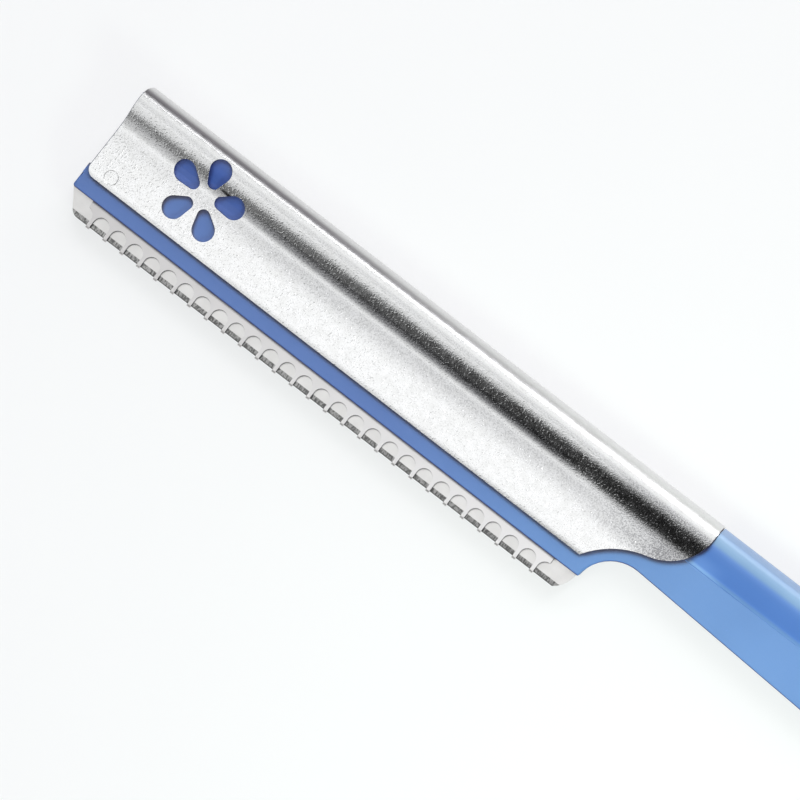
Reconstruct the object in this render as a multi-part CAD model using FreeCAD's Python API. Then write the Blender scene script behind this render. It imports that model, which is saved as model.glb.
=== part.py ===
import FreeCAD, Part
import math
import os

# Eyebrow razor in millimetres. It is drawn with x from the cover's free end to the tail of the handle,
# s from the spine's back towards the cutting edge, and z from the middle plane towards the front.

# Whole razor
razor_length = 148.0
free_end_overhang = 0.23
free_end_lean = 1.7
core_overhang = 0.1
rim_radius = 0.14

# Folded sheet-metal cover, measured on its outside
cover_sheet = 0.3
cover_fit = 0.03
cover_half = 2.05
cover_flat_half = 1.05
crown_rise = 0.2
shoulder_radius = 0.55
cover_crest_bend = 2.9
cover_foot_bend = 2.9
cover_flank_slope = 33.0
toe_s = 6.95
toe_bend = 0.6
toe_angle = 6.0
cover_edge_s = 7.5
cover_edge_gap = 0.12
cover_corner = 0.68

# S-shaped end of the cover
cover_end_x = 50.03
cover_end_straight = 0.96
cover_end_convex = 3.9
cover_end_concave = 6.3
cover_end_turn = 75.6
cover_end_gap = 0.08

# Five-petal cut-out in the cover's front wall
flower_x = 7.79
flower_s = 3.87
petal_count = 5
petal_tip_radius = 0.83
petal_tip_reach = 2.24
petal_root_radius = 0.48
petal_root_reach = 1.28

# Locking dimples pressed into both walls of the cover
dimple_x = 1.75
dimple_s = 6.72
dimple_width = 1.06
dimple_depth = 0.04
dimple_wall = 45.0

# Handle behind the cover: rib and web
rib_drop = 0.1
rib_crest_bend = 1.8
rib_foot_bend = 0.8
rib_flank_slope = 34.3
web_half = 0.67
lip_s = 8.8
lip_corner = 0.22
notch_corner = 0.1
notch_x = 47.05
notch_s = 8.96
notch_radius = 2.94
grip_flare = 2.93
grip_flare_end_x = 62.0
droop_start_x = 75.0
droop_radius = 760.0
tail_radius = 2.8
tail_taper_x = 132.0
tail_taper_radius = 110.0

# Blade strip
blade_thickness = 0.2
blade_fit = 0.01
blade_start_x = -0.22
blade_end_x = 43.95
blade_edge_s = 10.48
bevel_width = 0.37
blade_slant = 34.0
blade_tip_radius = 0.8
blade_heel_radius = 2.05

# Guard folded over the cutting edge
guard_sheet = 0.1
guard_fit = 0.01
guard_edge_gap = 0.06
guard_start_x = 1.56
guard_top_s = 7.6
guard_seat_gap = 0.1
guard_fold_flats = 3
finger_count = 27
finger_pitch = 1.5
finger_width = 0.27
window_top_s = 9.31

# Rear jaw and the pegs that locate blade and jaw
jaw_back_gap = 0.25
blade_back_gap = 0.55
jaw_end_x = 44.7
jaw_fit = 0.03
peg_radius = 0.6
peg_set_back = 1.2
peg_first_x = 8.0
peg_pitch = 28.0
peg_count = 2
peg_fit = 0.05
peg_recess = 0.07

# Overrun of the shapes that cut others, and the largest gap that still counts as joined
margin = 2.0
join_gap = 1e-7


def flank_run(drop, slope, bends):
    """Length along s of a flank that falls by a drop: a crest arc, a straight slope and a foot arc."""
    turn = math.radians(slope)
    straight = (drop - bends * (1 - math.cos(turn))) / math.sin(turn)
    return bends * math.sin(turn) + straight * math.cos(turn)


# Worked out from the sizes above
crest_s = shoulder_radius + crown_rise
crown_radius = (crest_s ** 2 + (cover_half - shoulder_radius) ** 2 - shoulder_radius ** 2) / (2 * crown_rise)
cover_drop = cover_half - cover_flat_half
rib_flat_half = web_half + rib_drop
cover_foot_s = crest_s + flank_run(cover_drop, cover_flank_slope, cover_crest_bend + cover_foot_bend)
rib_foot_s = crest_s + flank_run(cover_half - rib_flat_half, rib_flank_slope, rib_crest_bend + rib_foot_bend)
core_inset = cover_sheet + cover_fit
core_flat_half = cover_flat_half - core_inset
groove_s = cover_edge_s + cover_edge_gap
jaw_back_s = cover_foot_s + jaw_back_gap
blade_back_s = jaw_back_s + blade_back_gap
peg_s = blade_back_s + peg_set_back
blade_half = blade_thickness / 2
slot_half = blade_half + blade_fit
guard_inner = blade_half + guard_fit
guard_outer = guard_inner + guard_sheet
pocket_half = guard_outer + guard_fit
fold_s = blade_edge_s + guard_edge_gap - guard_inner
guard_tip_s = fold_s + guard_outer
free_end_x = -free_end_overhang
free_end_turn = math.radians(free_end_lean)
corner_top_s = cover_edge_s - cover_corner
tail_x = free_end_x + razor_length
peg_places = [peg_first_x + peg_pitch * i for i in range(peg_count)]
reach = cover_half + margin
deep_s = guard_tip_s + margin

# The frame's origin: the middle of the razor's outline, level with the underside of the spine
to_frame = FreeCAD.Vector(-(free_end_x + tail_x) / 2, guard_tip_s / 2, cover_half)
thickness_way = FreeCAD.Vector(0, 0, 1)


def across(s, z):
    """A point of a cross-section."""
    return FreeCAD.Vector(0, -s, z)


def along(x, s):
    """A point of an outline seen from the front."""
    return FreeCAD.Vector(x, -s, 0)


def level(x, z):
    """A point of an outline seen along the razor's width, beyond the cutting edge."""
    return FreeCAD.Vector(x, -deep_s, z)


def arc(point, a, b, radius, start, end):
    """An arc about (a, b) between two angles in degrees, in the plane that point() draws in."""
    ends = [math.radians(turn) for turn in (start, (start + end) / 2, end)]
    on_arc = [point(a + radius * math.cos(turn), b + radius * math.sin(turn)) for turn in ends]
    return Part.Arc(*on_arc).toShape()


def chain(edges):
    """The edges in order, with straight lines across the gaps between them, closed to a face."""
    closed = []
    for edge, following in zip(edges, edges[1:] + edges[:1]):
        closed.append(edge)
        here = edge.lastVertex(True).Point
        there = following.firstVertex(True).Point
        if here.distanceToPoint(there) > join_gap:
            closed.append(Part.makeLine(here, there))
    return Part.Face(Part.Wire(closed))


def polygon(point, corners):
    """A face with straight sides."""
    return Part.Face(Part.makePolygon([point(*corner) for corner in corners + corners[:1]]))


def slab(outline, low=-reach, high=reach):
    """An outline seen from the front, as a block between two levels."""
    block = outline.extrude(FreeCAD.Vector(0, 0, high - low))
    block.translate(FreeCAD.Vector(0, 0, low))
    return block


def bar(section, start, end):
    """A cross-section drawn out along the razor."""
    block = section.extrude(FreeCAD.Vector(end - start, 0, 0))
    block.translate(FreeCAD.Vector(start, 0, 0))
    return block


def box(x0, x1, s0, s1, z0, z1):
    """A block between pairs of x, s and z."""
    return slab(polygon(along, [(x0, s0), (x1, s0), (x1, s1), (x0, s1)]), z0, z1)


def both_sides(front_edges):
    """A section's front half and its mirror image, as one closed face."""
    rear = [edge.mirror(FreeCAD.Vector(), thickness_way) for edge in front_edges]
    return Part.Face(Part.Wire(Part.sortEdges(front_edges + rear)[0]))


def line(point, start, end):
    return Part.makeLine(point(*start), point(*end))


def rib_half(foot_s, flat_half, slope, crest_bend, foot_bend, inset):
    """Front half of the spine's outline, from the middle of its back over the crest to the flank's foot.

    The arcs keep their centres whatever the inset, so that outlines of one rib lie parallel.
    """
    back_turn = math.degrees(math.atan2(cover_half - shoulder_radius, crest_s - crown_radius))
    back = arc(across, crown_radius, 0, crown_radius - inset, 180, back_turn)
    shoulder = arc(across, crest_s, cover_half - shoulder_radius, shoulder_radius - inset, back_turn, 90)
    crest = arc(across, crest_s, cover_half - crest_bend, crest_bend - inset, 90, 90 - slope)
    foot = arc(across, foot_s, flat_half + foot_bend, foot_bend + inset, -90 - slope, -90)
    flank = Part.makeLine(crest.lastVertex(True).Point, foot.firstVertex(True).Point)
    return [back, shoulder, crest, flank, foot]


def cover_rib_half(inset):
    """Front half of the rib under the cover, at a depth under the cover's outside."""
    bends = (cover_crest_bend, cover_foot_bend)
    return rib_half(cover_foot_s, cover_flat_half, cover_flank_slope, *bends, inset)


def cover_half_section(inset, edge_s):
    """Front half of the cover's outline at a depth under its outside, as far as the edge of its toe."""
    rib = cover_rib_half(inset)
    toe = arc(across, toe_s, cover_flat_half - toe_bend, toe_bend - inset, 90, 90 - toe_angle)
    flat = Part.makeLine(rib[-1].lastVertex(True).Point, toe.firstVertex(True).Point)
    toe_end = toe.lastVertex(True).Point
    drop = (edge_s + toe_end.y) * math.tan(math.radians(toe_angle))
    edge = Part.makeLine(toe_end, across(edge_s, toe_end.z - drop))
    return rib + [flat, toe, edge]


def cover_end_edges(gap):
    """The cover's S-shaped end, from the spine to the toe's edge, moved out by a gap."""
    convex = cover_end_convex + gap
    concave = cover_end_concave - gap
    turn = math.radians(cover_end_turn)
    convex_x = cover_end_x - cover_end_convex
    concave_x = convex_x + (cover_end_convex + cover_end_concave) * math.cos(turn)
    concave_s = cover_end_straight + (cover_end_convex + cover_end_concave) * math.sin(turn)
    last = 180 + math.degrees(math.asin((concave_s - cover_edge_s) / concave))
    start = line(along, (cover_end_x + gap, -margin), (cover_end_x + gap, cover_end_straight))
    first_arc = arc(along, convex_x, cover_end_straight, convex, 0, cover_end_turn)
    second_arc = arc(along, concave_x, concave_s, concave, 180 + cover_end_turn, last)
    return [start, first_arc, second_arc]


def cover_zone(gap):
    """Everything on the cover's side of its S-shaped end."""
    end = cover_end_edges(gap)
    corner = end[-1].lastVertex(True).Point
    down = line(along, (corner.x, -corner.y), (corner.x, deep_s))
    left = line(along, (free_end_x - margin, deep_s), (free_end_x - margin, -margin))
    return slab(chain(end + [down, left]))


def free_end_at(s):
    """Where the cover's free end, which leans a little towards the handle, lies at a distance s."""
    return (cover_edge_s - s) * math.tan(free_end_turn)


def set_back():
    """The room that the core and the blade leave beyond the cover's free end, above the lip."""
    top = (free_end_at(-margin) - core_overhang, -margin)
    foot = (free_end_at(corner_top_s) - core_overhang, corner_top_s)
    outside = free_end_x - margin
    return slab(polygon(along, [(outside, -margin), top, foot, (outside, corner_top_s)]))


def dimple(side, inset):
    """A flat dish pressed into one wall of the cover, at a depth under the wall's outside."""
    wall = math.radians(dimple_wall)
    rim = dimple_width / 2 + inset * math.tan(wall / 2)
    foot = rim - dimple_depth / math.tan(wall)
    place = FreeCAD.Vector(dimple_x, -dimple_s, side * (cover_flat_half - inset))
    return Part.makeCone(rim, foot, dimple_depth, place, FreeCAD.Vector(0, 0, -side))


def petal(turn):
    """One petal of the cut-out: a drop with its point towards the flower's middle."""
    widening = (petal_tip_radius - petal_root_radius) / (petal_tip_reach - petal_root_reach)
    lean = math.degrees(math.asin(widening))
    tip_x = flower_x + petal_tip_reach * math.cos(math.radians(turn))
    tip_s = flower_s + petal_tip_reach * math.sin(math.radians(turn))
    root_x = flower_x + petal_root_reach * math.cos(math.radians(turn))
    root_s = flower_s + petal_root_reach * math.sin(math.radians(turn))
    tip = arc(along, tip_x, tip_s, petal_tip_radius, turn - 90 - lean, turn + 90 + lean)
    root = arc(along, root_x, root_s, petal_root_radius, turn + 90 + lean, turn + 270 - lean)
    return slab(chain([tip, root]), 0, reach)


def make_cover():
    """Sheet-metal cover folded round the spine, open along the cutting edge."""
    outer = cover_half_section(0, cover_edge_s)
    inner = cover_half_section(cover_sheet, cover_edge_s - cover_sheet * math.sin(math.radians(toe_angle)))
    hem = Part.makeLine(outer[-1].lastVertex(True).Point, inner[-1].lastVertex(True).Point)
    fold = bar(both_sides(outer + inner + [hem]), 0, cover_end_x + margin)
    corner_x = cover_corner * (1 + math.sin(free_end_turn)) / math.cos(free_end_turn)
    corner = arc(along, corner_x, corner_top_s, cover_corner, 90, 180 + free_end_lean)
    above = line(along, (free_end_at(-margin), -margin), (cover_end_x, -margin))
    step = line(along, (corner_x, deep_s), (corner_x, cover_edge_s))
    cover = fold.common(slab(chain(cover_end_edges(0) + [step, corner, above])))
    for side in (1, -1):
        cover = cover.fuse(dimple(side, cover_sheet)).cut(dimple(side, 0))
    for i in range(petal_count):
        cover = cover.cut(petal(-90 + 360 * i / petal_count))
    return cover


def core_section():
    """Plastic under the cover, down to the wall of the groove that takes the cover's toe."""
    rib = cover_rib_half(core_inset)
    flat = line(across, (cover_foot_s, core_flat_half), (groove_s, core_flat_half))
    wall = line(across, (groove_s, core_flat_half), (groove_s, 0))
    return both_sides(rib + [flat, wall])


def toe_groove(side):
    """Room for the cover's toe on one side, down to the toe's inner face."""
    toe = cover_half_section(core_inset, groove_s)[-2:]
    above = line(across, (groove_s, reach), (toe_s, reach))
    groove = bar(chain(toe + [above]), free_end_x - margin, cover_end_x)
    if side < 0:
        groove = groove.mirror(FreeCAD.Vector(), thickness_way)
    return groove.common(cover_zone(cover_end_gap))


def rib_section():
    """Spine rib of the handle behind the cover."""
    rib = rib_half(rib_foot_s, rib_flat_half, rib_flank_slope, rib_crest_bend, rib_foot_bend, rib_drop)
    return both_sides(rib + [line(across, (rib_foot_s, web_half), (rib_foot_s, 0))])


def drawn(section, start):
    """A section drawn straight along the spine and then on round its droop, past the tail."""
    straight = bar(section, start, droop_start_x)
    pivot = FreeCAD.Vector(droop_start_x, -droop_radius, 0)
    sweep = math.degrees((tail_x + margin - droop_start_x) / droop_radius)
    moved = section.copy()
    moved.translate(FreeCAD.Vector(droop_start_x, 0, 0))
    return straight.fuse(moved.revolve(pivot, thickness_way, -sweep))


def handle_outline():
    """The handle seen from the front: lip, notch, flared grip and round tail, left open over the spine."""
    flare = math.radians(grip_flare)
    leave_x = notch_x + notch_radius * math.sin(flare)
    leave_s = notch_s - notch_radius * math.cos(flare)
    bend_s = leave_s + (grip_flare_end_x - leave_x) * math.tan(flare)
    tail_centre_x = tail_x - tail_radius
    belly_radius = (tail_centre_x - grip_flare_end_x) / math.sin(flare)
    belly_s = bend_s - belly_radius * math.cos(flare)
    corner_s = lip_s - notch_corner
    corner_x = notch_x - math.sqrt((notch_radius + notch_corner) ** 2 - (notch_s - corner_s) ** 2)
    turn = math.degrees(math.atan2(notch_s - corner_s, notch_x - corner_x))
    free_corner_x = free_end_x + lip_corner
    free_corner_s = lip_s - lip_corner
    free_corner = arc(along, free_corner_x, free_corner_s, lip_corner, 180 + free_end_lean, 90)
    lean_run = (free_corner_s + margin) * math.tan(free_end_turn)
    spine_start_x = free_corner_x + lean_run - lip_corner / math.cos(free_end_turn)
    near_corner = arc(along, corner_x, corner_s, notch_corner, 90, turn)
    notch = arc(along, notch_x, notch_s, notch_radius, 180 + turn, 270 + grip_flare)
    grip = line(along, (leave_x, leave_s), (grip_flare_end_x, bend_s))
    belly = arc(along, tail_centre_x, belly_s, belly_radius, 90 + grip_flare, 90)
    tail = arc(along, tail_centre_x, belly_s + belly_radius - tail_radius, tail_radius, 90, -90)
    spine = line(along, (tail_centre_x, -margin), (spine_start_x, -margin))
    return chain([free_corner, near_corner, notch, grip, belly, tail, spine])


def tail_taper():
    """Envelope that thins the rib towards the tail in one long arc on each face."""
    centre_z = cover_half - tail_taper_radius
    turn = math.degrees(math.asin((tail_x + margin - tail_taper_x) / tail_taper_radius))
    front = arc(level, tail_taper_x, centre_z, tail_taper_radius, 90, 90 - turn)
    rear = arc(level, tail_taper_x, -centre_z, tail_taper_radius, turn - 90, -90)
    start = line(level, (free_end_x - margin, -cover_half), (free_end_x - margin, cover_half))
    return chain([front, rear, start]).extrude(FreeCAD.Vector(0, margin + deep_s, 0))


def make_body():
    """The whole plastic moulding, before the blade slot: core, lip, neck, web and rib."""
    outline = handle_outline()
    plate = slab(outline, -web_half, web_half)
    rims = [e for e in plate.Edges if e.BoundBox.ZLength < rim_radius and -e.CenterOfMass.y > crest_s]
    inside_rib = [(crest_s, -reach), (deep_s, -reach), (deep_s, reach), (crest_s, reach)]
    web = drawn(polygon(across, inside_rib), free_end_x - margin).common(plate.makeFillet(rim_radius, rims))
    rib = drawn(rib_section(), cover_end_x - cover_end_convex).cut(cover_zone(cover_end_gap))
    rib = rib.common(slab(outline)).common(tail_taper())
    core = bar(core_section(), free_end_x, cover_end_x + margin).common(cover_zone(cover_end_gap))
    body = core.common(slab(outline)).fuse([web, rib]).cut(set_back()).removeSplitter()
    for side in (1, -1):
        body = body.cut([toe_groove(side), dimple(side, core_inset)])
    return body


def slots():
    """Room for the blade, and for the guard's flanges beside the lip."""
    blade_slot = box(free_end_x - margin, jaw_end_x, jaw_back_s, deep_s, -slot_half, slot_half)
    seat_s = guard_top_s - guard_seat_gap
    guard_slot = box(free_end_x - margin, jaw_end_x, seat_s, deep_s, -pocket_half, pocket_half)
    return blade_slot.fuse(guard_slot)


def jaw_zone(fit):
    """The space behind the blade that the rear jaw fills, widened by a fit."""
    return box(free_end_x - margin, jaw_end_x + fit, jaw_back_s - fit, deep_s, -reach, 0)


def make_handle(body):
    """Handle with its front jaw and the pegs that stand on it."""
    handle = body.cut(jaw_zone(jaw_fit)).cut(slots())
    peg_end = -(core_flat_half - peg_recess)
    for x in peg_places:
        foot = FreeCAD.Vector(x, -peg_s, peg_end)
        handle = handle.fuse(Part.makeCylinder(peg_radius, pocket_half - peg_end, foot))
    return handle.removeSplitter()


def peg_holes(x, radius):
    return Part.makeCylinder(radius, 2 * reach, FreeCAD.Vector(x, -peg_s, -reach))


def make_clamp_plate(body):
    """Rear jaw, pushed over the pegs."""
    plate = body.common(jaw_zone(0)).cut(slots())
    for x in peg_places:
        plate = plate.cut(peg_holes(x, peg_radius + peg_fit))
    return plate


def make_blade():
    """Ground strip with a slanted free end and a rounded heel."""
    shoulder = blade_edge_s - bevel_width
    corners = [(blade_back_s, blade_half), (shoulder, blade_half), (blade_edge_s, 0)]
    corners += [(shoulder, -blade_half), (blade_back_s, -blade_half)]
    strip = bar(polygon(across, corners), blade_start_x - margin, blade_end_x + margin)
    heel = arc(along, blade_end_x - blade_heel_radius, lip_s, blade_heel_radius, 90, 0)
    back_s = blade_back_s - margin
    back_x = blade_start_x + (lip_s - back_s) * math.tan(free_end_turn)
    back = line(along, (blade_end_x, back_s), (back_x, back_s))
    slant = math.radians(blade_slant)
    tip_s = blade_edge_s + guard_fit - blade_tip_radius
    slant_s = tip_s + blade_tip_radius * math.sin(slant)
    slant_x = blade_start_x + (slant_s - lip_s) * math.tan(slant)
    tip_x = slant_x + blade_tip_radius * math.cos(slant)
    free_end = line(along, (blade_start_x, lip_s), (slant_x, slant_s))
    tip = arc(along, tip_x, tip_s, blade_tip_radius, 180 - blade_slant, 90)
    under = line(along, (tip_x, deep_s), (blade_end_x - blade_heel_radius, deep_s))
    blade = strip.common(slab(chain([back, free_end, tip, under, heel]))).cut(set_back())
    for x in peg_places:
        blade = blade.cut(peg_holes(x, peg_radius + peg_fit))
    return blade


def make_guard():
    """Thin strip folded over the edge, with a row of windows that leave a finger between each pair."""
    turns = [math.pi / 2 * (1 - i / guard_fold_flats) for i in range(guard_fold_flats + 1)]
    outer = [(fold_s + guard_outer * math.cos(turn), guard_outer * math.sin(turn)) for turn in turns]
    inner = [(fold_s + guard_inner, 0), (fold_s, guard_inner), (guard_top_s, guard_inner)]
    front = inner + [(guard_top_s, guard_outer)] + outer
    edges = [line(across, here, there) for here, there in zip(front, front[1:])]
    guard = bar(both_sides(edges), guard_start_x, guard_start_x + finger_count * finger_pitch)
    arch = (finger_pitch - finger_width) / 2
    windows = []
    for i in range(finger_count + 1):
        middle = guard_start_x + finger_pitch * i
        top_arc = arc(along, middle, window_top_s + arch, arch, 180, 360)
        floor = line(along, (middle + arch, deep_s), (middle - arch, deep_s))
        windows.append(slab(chain([top_arc, floor])))
    return guard.cut(windows)


body = make_body()
pieces = {
    "handle": make_handle(body),
    "clamp_plate": make_clamp_plate(body),
    "blade": make_blade(),
    "guard": make_guard(),
    "cover": make_cover(),
}

os.makedirs("parts", exist_ok=True)
for name, shape in pieces.items():
    shape.translate(to_frame)
    shape.exportStep("parts/" + name + ".step")
    print(name, len(shape.Solids), "solid", shape.isValid(), round(shape.Volume, 2), "mm3")
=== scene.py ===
import math

import bmesh
import bpy
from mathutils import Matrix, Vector


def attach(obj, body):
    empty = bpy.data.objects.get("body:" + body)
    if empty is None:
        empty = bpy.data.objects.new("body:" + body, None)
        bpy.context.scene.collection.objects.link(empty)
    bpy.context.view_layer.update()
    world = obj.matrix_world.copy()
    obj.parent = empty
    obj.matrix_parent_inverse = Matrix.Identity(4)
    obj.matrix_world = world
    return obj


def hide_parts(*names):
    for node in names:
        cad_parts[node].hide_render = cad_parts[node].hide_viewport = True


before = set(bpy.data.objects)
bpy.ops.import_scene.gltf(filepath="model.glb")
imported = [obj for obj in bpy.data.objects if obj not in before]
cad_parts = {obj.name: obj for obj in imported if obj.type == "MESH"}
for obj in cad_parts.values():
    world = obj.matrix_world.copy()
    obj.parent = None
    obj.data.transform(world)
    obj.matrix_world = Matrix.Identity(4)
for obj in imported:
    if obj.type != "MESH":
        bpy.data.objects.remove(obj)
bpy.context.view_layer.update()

# HANDLE
# One injection moulding in light blue plastic: a rounded rib along the back, a thin web, the neck under
# the cover's curved end and the front jaw with its lip. Its skin is satin, with a faint parting line.

mm = 0.001


def smooth_copy(node, name, crease, edge_round=0):
    """A copy of a solid's skin as one joined mesh, smooth except along its creases, with soft sharp edges."""
    weld = 0.0005 * mm
    flat = math.radians(0.4)
    crease = math.radians(crease)
    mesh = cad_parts[node].data.copy()
    mesh.name = name
    mesh.materials.clear()
    skin = bmesh.new()
    skin.from_mesh(mesh)
    bmesh.ops.remove_doubles(skin, verts=skin.verts, dist=weld)
    bmesh.ops.dissolve_limit(skin, angle_limit=flat, verts=skin.verts, edges=skin.edges, delimit={"NORMAL"})
    if edge_round:
        sharp = [e for e in skin.edges if e.is_manifold and e.calc_face_angle() > crease]
        bmesh.ops.bevel(
            skin, geom=sharp, offset=edge_round, offset_type="OFFSET", affect="EDGES",
            segments=2, profile=0.5, material=-1, clamp_overlap=True,
        )
    skin.to_mesh(mesh)
    skin.free()
    mesh.shade_smooth()
    mesh.set_sharp_from_angle(angle=crease)
    piece = bpy.data.objects.new(name, mesh)
    bpy.context.scene.collection.objects.link(piece)
    even = piece.modifiers.new("even shading", "WEIGHTED_NORMAL")
    even.keep_sharp = True
    even.weight = 90
    return piece


def put(tree, kind, inputs=None, **settings):
    """A node of a material, with its settings, and its sockets either set or linked."""
    made = tree.nodes.new("ShaderNode" + kind)
    for name, value in settings.items():
        setattr(made, name, value)
    for socket, value in (inputs or {}).items():
        if isinstance(value, bpy.types.NodeSocket):
            tree.links.new(value, made.inputs[socket])
        else:
            made.inputs[socket].default_value = value
    return made


def new_finish(name):
    """An empty material, with its tree, its shader and the object's own coordinates."""
    finish = bpy.data.materials.new(name)
    finish.use_nodes = True
    tree = finish.node_tree
    shader = tree.nodes["Principled BSDF"]
    place = put(tree, "TexCoord").outputs["Object"]
    return finish, tree, shader, place


def grain(tree, place, size, detail=2.0, stretch=(1, 1, 1)):
    """Noise with lumps of a given size, drawn out along an axis if asked."""
    if stretch != (1, 1, 1):
        place = put(tree, "Mapping", {"Vector": place, "Scale": stretch}).outputs["Vector"]
    return put(tree, "TexNoise", {"Vector": place, "Scale": 1 / size, "Detail": detail}).outputs["Fac"]


def between(tree, value, low, high, to_low=0.0, to_high=1.0):
    """A value taken from one range into another, with soft ends."""
    span = {"Value": value, "From Min": low, "From Max": high, "To Min": to_low, "To Max": to_high}
    return put(tree, "MapRange", span, interpolation_type="SMOOTHSTEP").outputs["Result"]


def calculate(tree, operation, a, b=0.0):
    """One sum on one or two values."""
    return put(tree, "Math", {0: a, 1: b}, operation=operation).outputs["Value"]


def times(tree, product, *shares):
    """The product of several shares."""
    for share in shares:
        product = calculate(tree, "MULTIPLY", product, share)
    return product


def tint(tree, share, plain, other):
    """A colour between two others."""
    return put(tree, "Mix", {0: share, 6: plain, 7: other}, data_type="RGBA").outputs[2]


def emboss(tree, shader, *layers):
    """Fine relief in layers, each with its height, its strength and its depth."""
    skin = None
    for height, strength, depth in layers:
        relief = {"Height": height, "Strength": strength, "Distance": depth}
        if skin is not None:
            relief["Normal"] = skin
        skin = put(tree, "Bump", relief).outputs["Normal"]
    tree.links.new(skin, shader.inputs["Normal"])


def worn_edges(tree, width):
    """Where the surface turns a corner: the difference between its own direction and a rounded one."""
    rounded = put(tree, "Bevel", {"Radius": width}, samples=6).outputs["Normal"]
    own = put(tree, "NewGeometry").outputs["Normal"]
    alike = put(tree, "VectorMath", {0: rounded, 1: own}, operation="DOT_PRODUCT").outputs["Value"]
    return between(tree, alike, 0.98, 0.86)


def openness(tree, reach, lean):
    """How open a spot is to the light, which comes in slantwise from beyond the spine."""
    own = put(tree, "NewGeometry").outputs["Normal"]
    aside = put(tree, "VectorMath", {0: own, 1: (-lean, lean, 0)}, operation="ADD").outputs["Vector"]
    aside = put(tree, "VectorMath", {0: aside}, operation="NORMALIZE").outputs["Vector"]
    return put(tree, "AmbientOcclusion", {"Distance": reach, "Normal": aside}, samples=12).outputs["AO"]


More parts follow.
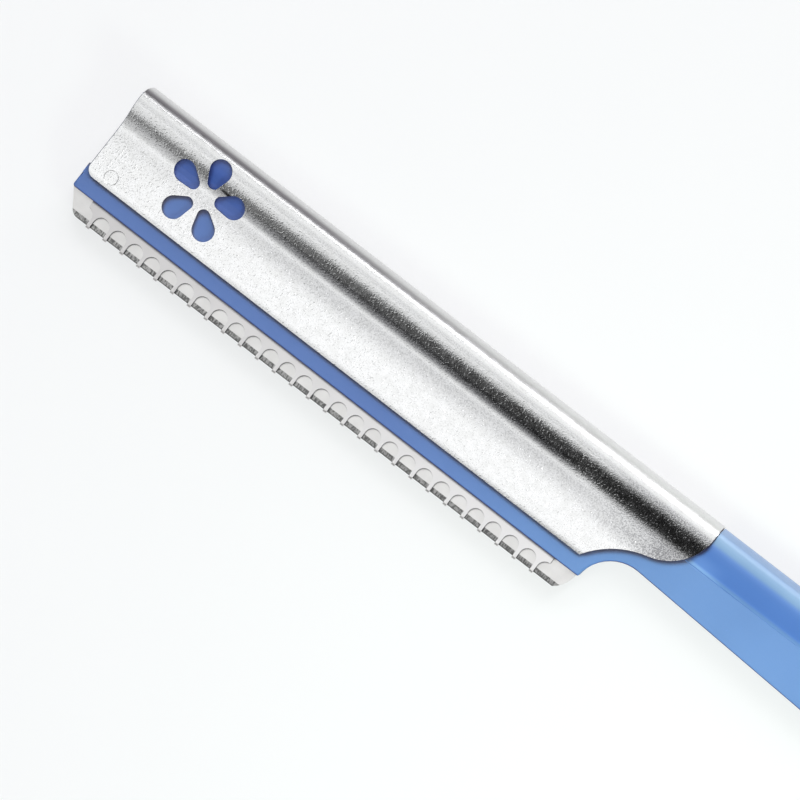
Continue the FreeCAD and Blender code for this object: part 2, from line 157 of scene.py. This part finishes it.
def blue_plastic():
    """Satin plastic: cloudy pigment, a fine eroded skin, a painted sheen along the back and neck, and painted
    shade at the head, flanks, rims, crevices, under the cover and at the free end.
    """
    cloud_blue, clear_blue = (0.067, 0.163, 0.383, 1), (0.076, 0.178, 0.410, 1)
    speck_blue = (0.10, 0.20, 0.48, 1)
    corner_blue = (0.34, 0.49, 0.80, 1)
    head_shade_blue = (0.006, 0.025, 0.232, 1)
    back_sheen_blue = (0.31, 0.42, 0.54, 1)
    neck_lit_blue = (0.15, 0.285, 0.56, 1)
    flank_shade_blue = (0.055, 0.15, 0.56, 1)
    rim_shade_blue = (0.025, 0.025, 0.12, 1)
    crevice_shade_blue = (0.006, 0.008, 0.05, 1)
    covered_shade_blue = (0.012, 0.05, 0.29, 1)
    free_end_shade_grey = (0.06, 0.06, 0.08, 1)

    head_x = -24 * mm, -50 * mm
    uncovered_x = -29 * mm, -26 * mm
    back_y = 3.2 * mm, 4.6 * mm
    neck_x = -21.2 * mm, -23.4 * mm
    neck_top_y = 3.3 * mm, 2.4 * mm
    neck_low_y = 1.75 * mm, 2.1 * mm
    rim_z = 0.70 * mm, 0.66 * mm
    rim_y = 1.6 * mm, 1.2 * mm
    covered_x = -27 * mm, -30 * mm
    covered_y = 0.2 * mm, 1.6 * mm
    free_end_x = -73.25 * mm, -73.55 * mm
    free_end_y = -1.9 * mm, -1.5 * mm
    mid_plane = 2.05 * mm
    parting_width = 0.03 * mm

    finish, tree, shader, place = new_finish("blue_plastic")
    clouds = grain(tree, place, 6 * mm, 3)
    specks = grain(tree, place, 0.25 * mm, 2)
    erosion = grain(tree, place, 0.12 * mm, 3)
    flow = grain(tree, place, 2 * mm, 2, (0.12, 1, 1))
    x, y, z = put(tree, "SeparateXYZ", {"Vector": place}).outputs
    own = put(tree, "NewGeometry").outputs["Normal"]
    facing = put(tree, "SeparateXYZ", {"Vector": own}).outputs["Y"]

    colour = tint(tree, between(tree, clouds, 0.3, 0.7), cloud_blue, clear_blue)
    colour = tint(tree, between(tree, specks, 0.62, 0.8, 0, 0.35), colour, speck_blue)
    corners = times(tree, worn_edges(tree, 0.06 * mm), between(tree, specks, 0.35, 0.6), 0.35)
    colour = tint(tree, corners, colour, corner_blue)
    # Painted shade: the plastic is tinted deeper blue towards the head, where less light reaches it than at
    # the handle.
    colour = tint(tree, between(tree, x, *head_x, 0.0, 0.42), colour, head_shade_blue)

    # Painted sheen: the back of the rib, past the cover, is tinted paler where it catches the light, and so
    # is a patch on the neck just past the cover's curved end.
    uncovered = between(tree, x, *uncovered_x)
    painted_patch = between(tree, y, *back_y, 0.0, between(tree, clouds, 0.3, 0.7, 0.39, 0.50))
    colour = tint(tree, times(tree, painted_patch, uncovered), colour, back_sheen_blue)
    neck = times(tree, between(tree, x, *neck_x), uncovered)
    neck = times(tree, neck, between(tree, y, *neck_top_y), between(tree, y, *neck_low_y))
    colour = tint(tree, neck, colour, neck_lit_blue)
    # Painted shade: faces turned towards the cutting edge, away from the light, are tinted a deeper blue.
    colour = tint(tree, between(tree, facing, -0.20, -0.42, 0.0, 0.5), colour, flank_shade_blue)

    # Painted shade: the lower rims, off the mid plane, turn away from the light and are tinted dark navy.
    off_middle = calculate(tree, "ABSOLUTE", calculate(tree, "SUBTRACT", z, mid_plane))
    lower_rim = between(tree, facing, -0.30, -0.62, 0.0, 0.85)
    lower_rim = times(tree, lower_rim, between(tree, off_middle, *rim_z), between(tree, y, *rim_y))
    colour = tint(tree, lower_rim, colour, rim_shade_blue)
    # Painted shade: spots shut in by nearby surfaces, beside the cover's edges and inside the petal holes,
    # are darkened.
    shut_in = between(tree, openness(tree, 0.6 * mm, 0.5), 0.45, 0.78, 0.98, 0.0)
    colour = tint(tree, shut_in, colour, crevice_shade_blue)
    # Painted shade: the plastic seen under the cover is darkened.
    covered = times(tree, between(tree, x, *covered_x, 0.0, 0.55), between(tree, y, *covered_y))
    colour = tint(tree, covered, colour, covered_shade_blue)
    # Painted shade on the jaw's free end, just beyond the cover.
    free_end = times(tree, between(tree, x, *free_end_x, 0.0, 0.85), between(tree, y, *free_end_y))
    colour = tint(tree, free_end, colour, free_end_shade_grey)
    tree.links.new(colour, shader.inputs["Base Color"])

    near_plane = {0: z, 1: mid_plane, 2: parting_width}
    parting_line = put(tree, "Math", near_plane, operation="COMPARE").outputs["Value"]
    emboss(
        tree, shader,
        (erosion, 0.25, 0.006 * mm), (flow, 0.3, 0.01 * mm), (parting_line, 0.6, 0.012 * mm),
    )
    tree.links.new(between(tree, specks, 0.25, 0.75, 0.44, 0.52), shader.inputs["Roughness"])
    shader.inputs["Specular IOR Level"].default_value = 1.0
    return finish


plastic = blue_plastic()
handle = smooth_copy("handle", "handle_moulding", 24)
handle.data.materials.append(plastic)
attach(handle, "root")
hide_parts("handle")

# BLADE
# A strip of stainless razor steel, blanked and then ground to a bevel on both faces. It lies in the slot
# between the jaws, on two pegs of the handle.


def ground_steel():
    """Bright strip with fine grinding lines; the honed bevel is darker and is ground across. Painted shadows
    lie by the guard's window edges, and a painted dark line along the cutting edge.
    """
    stained_steel, clean_steel = (0.65, 0.64, 0.62, 1), (0.71, 0.70, 0.68, 1)
    bevel_dark, bevel_light = (0.17, 0.17, 0.165, 1), (0.50, 0.495, 0.48, 1)
    edge_dark = (0.06, 0.06, 0.06, 1)
    shadow_dark = (0.02, 0.02, 0.02, 1)
    bevel_top = -4.79 * mm
    bevel_blur = 0.02 * mm
    edge_y = -5.06 * mm, -5.12 * mm

    finish, tree, shader, place = new_finish("blade_steel")
    along = grain(tree, place, 0.05 * mm, 2, (0.04, 1, 1))
    across = grain(tree, place, 0.09 * mm, 2, (1, 0.12, 1))
    stain = grain(tree, place, 1.2 * mm, 3)
    y = put(tree, "SeparateXYZ", {"Vector": place}).outputs["Y"]

    honed = between(tree, y, bevel_top + bevel_blur, bevel_top - bevel_blur)
    face = tint(tree, between(tree, stain, 0.3, 0.75), stained_steel, clean_steel)
    bevel = tint(tree, between(tree, across, 0.38, 0.62), bevel_dark, bevel_light)
    # Painted shade: a dark line along the cutting edge.
    bevel = tint(tree, between(tree, y, *edge_y, 0.0, 0.7), bevel, edge_dark)
    # Painted shadow: the blade darkens where the guard's window edges shut it in, most on the side towards
    # the light beyond the spine.
    shut_in = between(tree, openness(tree, 0.25 * mm, 0.7), 0.35, 0.72, 0.95, 0.0)
    colour = tint(tree, shut_in, tint(tree, honed, face, bevel), shadow_dark)
    tree.links.new(colour, shader.inputs["Base Color"])

    emboss(tree, shader, (tint(tree, honed, along, across), 0.4, 0.004 * mm))
    tree.links.new(between(tree, along, 0.3, 0.7, 0.30, 0.42), shader.inputs["Roughness"])
    shader.inputs["Metallic"].default_value = 1
    return finish


blade = smooth_copy("blade", "blade_strip", 8)
blade.data.materials.append(ground_steel())
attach(blade, "root")
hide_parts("blade")

# GUARD
# Thin stainless strip, punched with a row of arched windows and folded over the cutting edge, so that
# narrow fingers cross the edge. Its two flanges are held beside the blade under the jaws' lips.


def thin_steel():
    """Bright rolled strip with random stains, painted darker towards the free end where less light reaches,
    with burnished corners and painted shade beside the jaw's lip.
    """
    stained_and_shaded_strip, clean_strip = (0.60, 0.585, 0.575, 1), (0.72, 0.71, 0.70, 1)
    corner_bright = (0.86, 0.86, 0.86, 1)
    shadow_dark = (0.02, 0.02, 0.04, 1)
    strip_x = -76 * mm, -28 * mm

    finish, tree, shader, place = new_finish("guard_steel")
    rolled = grain(tree, place, 0.06 * mm, 2, (0.06, 1, 1))
    stain = grain(tree, place, 0.9 * mm, 3)
    x = put(tree, "SeparateXYZ", {"Vector": place}).outputs["X"]

    # Random stains, and painted shade that deepens towards the free end, where less light reaches.
    clean_and_lit = times(tree, between(tree, stain, 0.2, 0.7, 0.75, 1.0), between(tree, x, *strip_x))
    face = tint(tree, clean_and_lit, stained_and_shaded_strip, clean_strip)
    colour = tint(tree, times(tree, worn_edges(tree, 0.03 * mm), 0.5), face, corner_bright)
    # Painted shade where the jaw's lip and the window edges shut the strip in.
    shut_in = between(tree, openness(tree, 0.3 * mm, 0.3), 0.45, 0.82, 0.95, 0.0)
    colour = tint(tree, shut_in, colour, shadow_dark)
    tree.links.new(colour, shader.inputs["Base Color"])

    emboss(tree, shader, (rolled, 0.35, 0.004 * mm))
    tree.links.new(between(tree, stain, 0.3, 0.7, 0.30, 0.40), shader.inputs["Roughness"])
    shader.inputs["Metallic"].default_value = 1
    return finish


guard = smooth_copy("guard", "guard_strip", 35)
guard.data.materials.append(thin_steel())
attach(guard, "root")
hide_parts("guard")

# REAR JAW
# A thin plate of the handle's plastic behind the blade. Two pegs of the handle pass through blade and
# plate, and the folded cover clamps it.

rear_jaw = smooth_copy("clamp_plate", "rear_jaw", 24)
rear_jaw.data.materials.append(plastic)
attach(rear_jaw, "root")
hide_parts("clamp_plate")

# COVER
# Sheet steel with a grainy satin finish, blanked with a five-petal cut-out and a curved end, then folded
# round the spine. A pressed dimple near the free end locks each wall to the plastic.


def grainy_sheet():
    """Matt rolled sheet: sparkling grain, bright sheared edges, and painted shade over the back of the fold,
    the flank's foot, the crest and the flat near the curved end.
    """
    sheet_grey, sheet_white = (0.74, 0.74, 0.725, 1), (0.80, 0.80, 0.79, 1)
    pit_grey = (0.50, 0.50, 0.49, 1)
    fold_shade_grey = (0.22, 0.21, 0.22, 1)
    shade_grey = (0.24, 0.24, 0.245, 1)
    sheared_white = (0.90, 0.90, 0.89, 1)

    fold_y = 4.45 * mm, 4.95 * mm
    fold_back_y = 5.02 * mm, 5.28 * mm
    fold_x = -66 * mm, -24 * mm
    dark_patch_x = -34 * mm, -28 * mm
    dark_patch_y = -0.4 * mm, 1.0 * mm
    dark_patch_top_y = 4.35 * mm, 3.95 * mm
    belly_x = -28 * mm, -25.5 * mm
    belly_y = 2.3 * mm, 1.7 * mm
    foot_x = -32.5 * mm, -37 * mm
    foot_top_y = 2.9 * mm, 2.6 * mm
    foot_low_y = 1.85 * mm, 2.35 * mm
    veil_x = -28 * mm, -34 * mm
    veil_top_y = 2.1 * mm, 1.6 * mm
    veil_low_y = -0.1 * mm, 1.6 * mm
    free_end_x = -71 * mm, -56 * mm
    ridge_top_y = 4.38 * mm, 4.16 * mm
    ridge_low_y = 3.82 * mm, 4.06 * mm
    shoulder_y = 3.9 * mm, 4.4 * mm

    finish, tree, shader, place = new_finish("cover_steel")
    fine = grain(tree, place, 0.085 * mm, 1)
    sparse = grain(tree, place, 0.16 * mm, 1)
    coarse = grain(tree, place, 0.6 * mm, 2)
    wavy = grain(tree, place, 2.2 * mm, 2, (0.5, 1, 1))
    spot = put(tree, "SeparateXYZ", {"Vector": place}).outputs
    x, y = spot["X"], spot["Y"]

    face = tint(tree, between(tree, coarse, 0.3, 0.7), sheet_grey, sheet_white)
    face = tint(tree, between(tree, fine, 0.25, 0.5, 0.45, 0.0), face, pit_grey)
    # Painted shade over the back of the fold, strongest towards the free end.
    fold = times(tree, between(tree, y, *fold_y), between(tree, y, *fold_back_y, 1.0, 0.25))
    face = tint(tree, times(tree, fold, between(tree, x, *fold_x, 1.0, 0.15)), face, fold_shade_grey)

    # Painted shade: darker patches, speckled with the grain, on the flat near the curved end and along its
    # belly.
    painted_patch = times(tree, between(tree, x, *dark_patch_x), between(tree, y, *dark_patch_y))
    painted_patch = times(tree, painted_patch, between(tree, fine, 0.62, 0.36, 0.35, 0.8), between(tree, y, *dark_patch_top_y))
    belly = times(tree, between(tree, x, *belly_x), between(tree, y, *belly_y, 0.0, 0.3))
    face = tint(tree, calculate(tree, "ADD", painted_patch, belly), face, shade_grey)

    # Painted shade: a band at the flank's foot, a grey veil over the flat below it and a line along the
    # crest, all weaker towards the free end.
    foot = times(tree, between(tree, y, *foot_top_y), between(tree, y, *foot_low_y))
    foot = times(tree, foot, between(tree, x, *foot_x))
    veil = times(tree, between(tree, y, *veil_top_y, 0.0, 0.5), between(tree, y, *veil_low_y))
    veil = times(tree, veil, between(tree, x, *veil_x))
    shaded = times(tree, calculate(tree, "ADD", foot, veil), between(tree, x, *free_end_x, 0.4, 1.0))
    ridge = times(tree, between(tree, y, *ridge_top_y, 0.0, 0.33), between(tree, y, *ridge_low_y))
    shaded = times(tree, calculate(tree, "ADD", shaded, ridge), between(tree, fine, 0.62, 0.36, 0.75, 1.15))
    face = tint(tree, shaded, face, shade_grey)

    sheared = times(tree, worn_edges(tree, 0.07 * mm), between(tree, fine, 0.3, 0.6), 0.6)
    colour = tint(tree, sheared, face, sheared_white)
    tree.links.new(colour, shader.inputs["Base Color"])

    flakes = between(tree, sparse, 0.55, 0.75)
    relief = between(tree, y, *shoulder_y, 0.7, 0.1)
    emboss(
        tree, shader,
        (wavy, 0.3, 0.04 * mm), (coarse, 0.3, 0.01 * mm),
        (fine, relief, 0.0065 * mm), (flakes, relief, 0.006 * mm),
    )
    duller = times(tree, between(tree, y, *shoulder_y), 0.16)
    roughness = calculate(tree, "ADD", between(tree, coarse, 0.3, 0.7, 0.12, 0.16), duller)
    tree.links.new(roughness, shader.inputs["Roughness"])
    shader.inputs["Metallic"].default_value = 1
    return finish


def shade_as_bent(piece, cut_x, dish, dish_reach):
    """Give a bent sheet the even shading of its cross-section, whatever its facets, and a dish soft sides."""
    joined = 0.001 * mm
    same_bend = math.cos(math.radians(30))
    end_on = 0.01
    dish_match, wall_match = (0.5, 0.06 * mm), (0.999, 0.02 * mm)
    dish_own = 0.45

    mesh = piece.data
    sheet = bmesh.new()
    sheet.from_mesh(mesh)
    whole = sheet.verts[:] + sheet.edges[:] + sheet.faces[:]
    cut = bmesh.ops.bisect_plane(sheet, geom=whole, plane_co=(cut_x, 0, 0), plane_no=(1, 0, 0))["geom_cut"]
    runs = []
    for edge in [e for e in cut if isinstance(e, bmesh.types.BMEdge)]:
        here, there = [Vector(v.co.yz) for v in edge.verts]
        facing = Vector(edge.link_faces[0].normal.yz).normalized()
        runs.append((here, there, facing))
    sheet.free()

    def at_end(end, facing):
        near = [other for a, b, other in runs if min((a - end).length, (b - end).length) < joined]
        alike = [other for other in near if other.dot(facing) > same_bend]
        return sum(alike, Vector((0, 0))).normalized()

    bends = [(a, b - a, facing, at_end(a, facing), at_end(b, facing)) for a, b, facing in runs]
    shades = [Vector((0, 0, 0))] * len(mesh.loops)
    for face in mesh.polygons:
        in_dish = (face.center.xy - dish).length < dish_reach
        if abs(face.normal.x) > end_on and not in_dish:
            continue
        alike, near = dish_match if in_dish else wall_match
        for corner in face.loop_indices:
            spot = Vector(mesh.vertices[mesh.loops[corner].vertex_index].co.yz)
            best = None
            for start, step, facing, first, last in bends:
                if facing.dot(face.normal.yz) < alike:
                    continue
                share = min(max((spot - start).dot(step) / step.length_squared, 0), 1)
                off = (start + step * share - spot).length
                if best is None or off < best[0]:
                    best = (off, first.lerp(last, share))
            if best and best[0] < near:
                bent = Vector((0, *best[1])).normalized()
                shades[corner] = bent.lerp(face.normal, dish_own).normalized() if in_dish else bent
    mesh.normals_split_custom_set(shades)


section_x = -45 * mm
dimple_middle = Vector((-72.02, -1.40)) * mm
dimple_reach = 0.62 * mm

cover = smooth_copy("cover", "spine_cover", 20, edge_round=0.03 * mm)
cover.modifiers.clear()
shade_as_bent(cover, section_x, dimple_middle, dimple_reach)
cover.data.materials.append(grainy_sheet())
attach(cover, "root")
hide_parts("cover")

# STAGE
# A lit white table top, level with the underside of the spine. Pale walls stand round it, with a dark
# gap beyond the cutting edge and a bright bar overhead. Lamps stand beyond the spine and over the handle.

table_size = 3.0
paper_grey, paper_white = (0.17, 0.172, 0.175, 1), (0.19, 0.19, 0.192, 1)
table_glow = (0.985, 0.99, 1.0, 1)

bench = bmesh.new()
bmesh.ops.create_grid(bench, x_segments=1, y_segments=1, size=table_size)
table_mesh = bpy.data.meshes.new("table")
bench.to_mesh(table_mesh)
bench.free()
table = bpy.data.objects.new("table", table_mesh)
bpy.context.scene.collection.objects.link(table)
finish, tree, shader, place = new_finish("pale_table")
paper = grain(tree, place, 40 * mm, 3)
tree.links.new(tint(tree, paper, paper_grey, paper_white), shader.inputs["Base Color"])
shader.inputs["Roughness"].default_value = 0.7
shader.inputs["Specular IOR Level"].default_value = 0.2
shader.inputs["Emission Color"].default_value = table_glow
shader.inputs["Emission Strength"].default_value = 0.715
table_mesh.materials.append(finish)


def slanting(tree, across, along, slope, offset=0.0):
    """How far a direction lies to one side of a line that runs slantwise over the walls."""
    line = put(tree, "Math", {0: along, 1: slope, 2: offset}, operation="MULTIPLY_ADD").outputs["Value"]
    return calculate(tree, "ADD", across, line)


wall_white = (0.97, 0.98, 1.0, 1)

world = bpy.data.worlds.new("studio")
bpy.context.scene.world = world
world.use_nodes = True
tree = world.node_tree
way = put(tree, "SeparateXYZ", {"Vector": put(tree, "TexCoord").outputs["Generated"]}).outputs
along, beyond = way["X"], way["Y"]
before = calculate(tree, "MULTIPLY", beyond, -1.0)

far_light = between(tree, along, -0.12, -0.05, 1.0, 0.68)
light = between(tree, before, 0.40, 0.62, 1.31, far_light)
behind = slanting(tree, beyond, along, -2.6, -0.494)
grey_wall = between(tree, behind, -0.1, 0.35, 1.0, between(tree, along, -0.16, -0.04, 0.26, 0.85))
light = times(tree, light, grey_wall)

off_bar = calculate(tree, "ABSOLUTE", slanting(tree, beyond, along, -2.5, -0.385))
bright_bar = between(tree, off_bar, 0.06, 0.22, between(tree, along, -0.075, -0.03, 0.0, 18.0), 0.0)
light = calculate(tree, "ADD", light, bright_bar)

dark_gap = between(tree, along, -0.22, -0.06, 0.27, 0.01)
gap_share = between(tree, slanting(tree, before, along, 1.29), 0.545, 0.665)
gap_ends = between(tree, along, 0.10, 0.22, 1, 0), between(tree, along, -0.45, -0.32)
light = put(tree, "Mix", {0: times(tree, gap_share, *gap_ends), 2: light, 3: dark_gap}).outputs[0]

off_head = calculate(tree, "ABSOLUTE", calculate(tree, "ADD", along, 0.1))
light = times(tree, light, between(tree, off_head, 0.22, 0.45, 1.0, 0.30))
background = tree.nodes["Background"]
tree.links.new(light, background.inputs["Strength"])
background.inputs["Color"].default_value = wall_white

head_middle = Vector((-0.045, 0, 0))
lamps = {
    "beyond_spine": ((-0.22, 0.33, 0.44), 0.16, 0.9, (1.0, 1.0, 1.0)),
    "over_handle": ((0.005, -0.02, 0.055), 0.02, 0.032, (0.80, 1.0, 0.80)),
}
for name, (stand, width, power, hue) in lamps.items():
    lamp = bpy.data.lights.new(name, "AREA")
    lamp.shape = "SQUARE"
    lamp.size = width
    lamp.energy = power
    lamp.color = hue
    holder = bpy.data.objects.new(name, lamp)
    holder.location = stand
    holder.rotation_euler = (head_middle - Vector(stand)).to_track_quat("-Z", "Y").to_euler()
    holder.visible_glossy = False
    holder.visible_camera = False
    bpy.context.scene.collection.objects.link(holder)

# CAMERA
# It looks down on the head from beyond the spine, through a long lens. The razor runs across the
# picture's diagonal, and the handle leaves it at the lower right.

camera_place = Vector((-13.85, 28.17, 310.53)) * mm
camera_turn = (-0.65, 8.14, 37.38)
lens = 203.7
sensor_width = 36
nearest_seen = 0.01

camera_data = bpy.data.cameras.new("camera")
camera_data.lens = lens
camera_data.sensor_width = sensor_width
camera_data.clip_start = nearest_seen
camera = bpy.data.objects.new("camera", camera_data)
camera.location = camera_place
camera.rotation_euler = [math.radians(angle) for angle in camera_turn]
bpy.context.scene.collection.objects.link(camera)
bpy.context.scene.camera = camera

bpy.context.scene.view_settings.view_transform = "Standard"
bpy.context.scene.view_settings.look = "None"
bpy.context.scene.view_settings.exposure = 0.0
